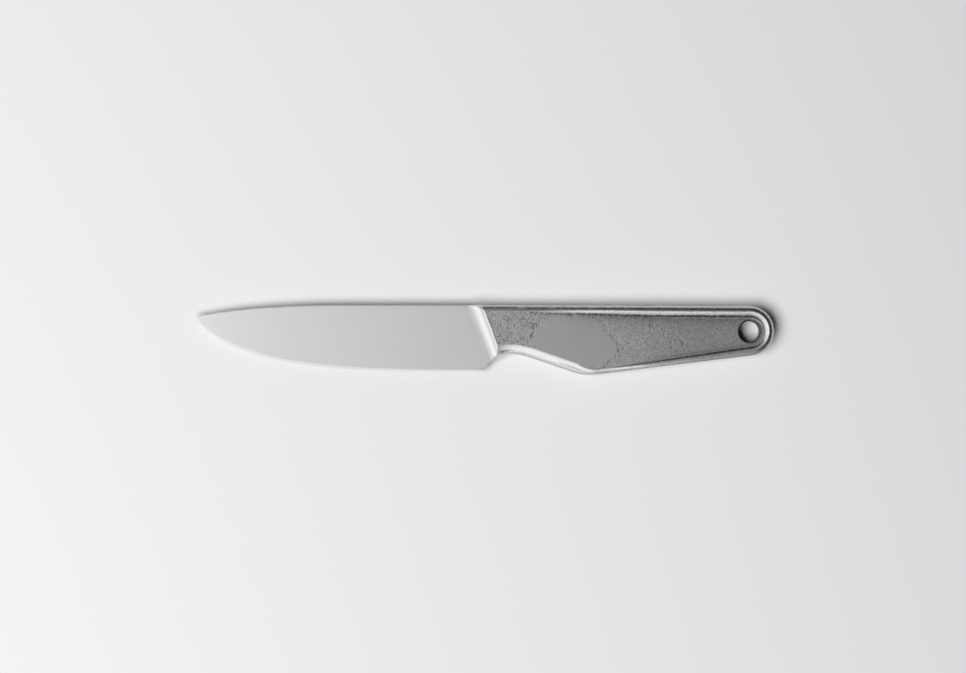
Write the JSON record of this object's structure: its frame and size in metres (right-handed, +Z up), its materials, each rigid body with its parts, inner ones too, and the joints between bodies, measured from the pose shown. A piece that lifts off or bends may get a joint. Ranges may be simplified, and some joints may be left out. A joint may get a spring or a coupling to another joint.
{
  "type": "paring knife",
  "caption": "Forged steel paring knife with a satin pointed blade, leaning bolster and a rimmed, as-forged steel handle with a round hanging hole.",
  "frame": {"origin": "middle of the knife's box in plan, on the surface that it lies on", "axes": "+X along the knife to the butt, +Y across it to the spine, +Z up from the surface; the tip is at -X"},
  "size_m": [0.2106, 0.0252, 0.0074],
  "materials": {
    "satin_steel": "satin ground blade, brighter bolster, polished edge bevel",
    "forged_steel": "as-forged pitted panel with a blasted, rubbed rim",
    "dowel_steel": "plain ground steel, hidden"
  },
  "bodies": {
    "root": {"forged_blade": "satin_steel", "handle_scale_front": "forged_steel", "handle_scale_back": "forged_steel", "dowel_spine_front": "dowel_steel", "dowel_spine_rear": "dowel_steel", "dowel_belly_front": "dowel_steel", "dowel_belly_rear": "dowel_steel"}
  },
  "joints": []
}
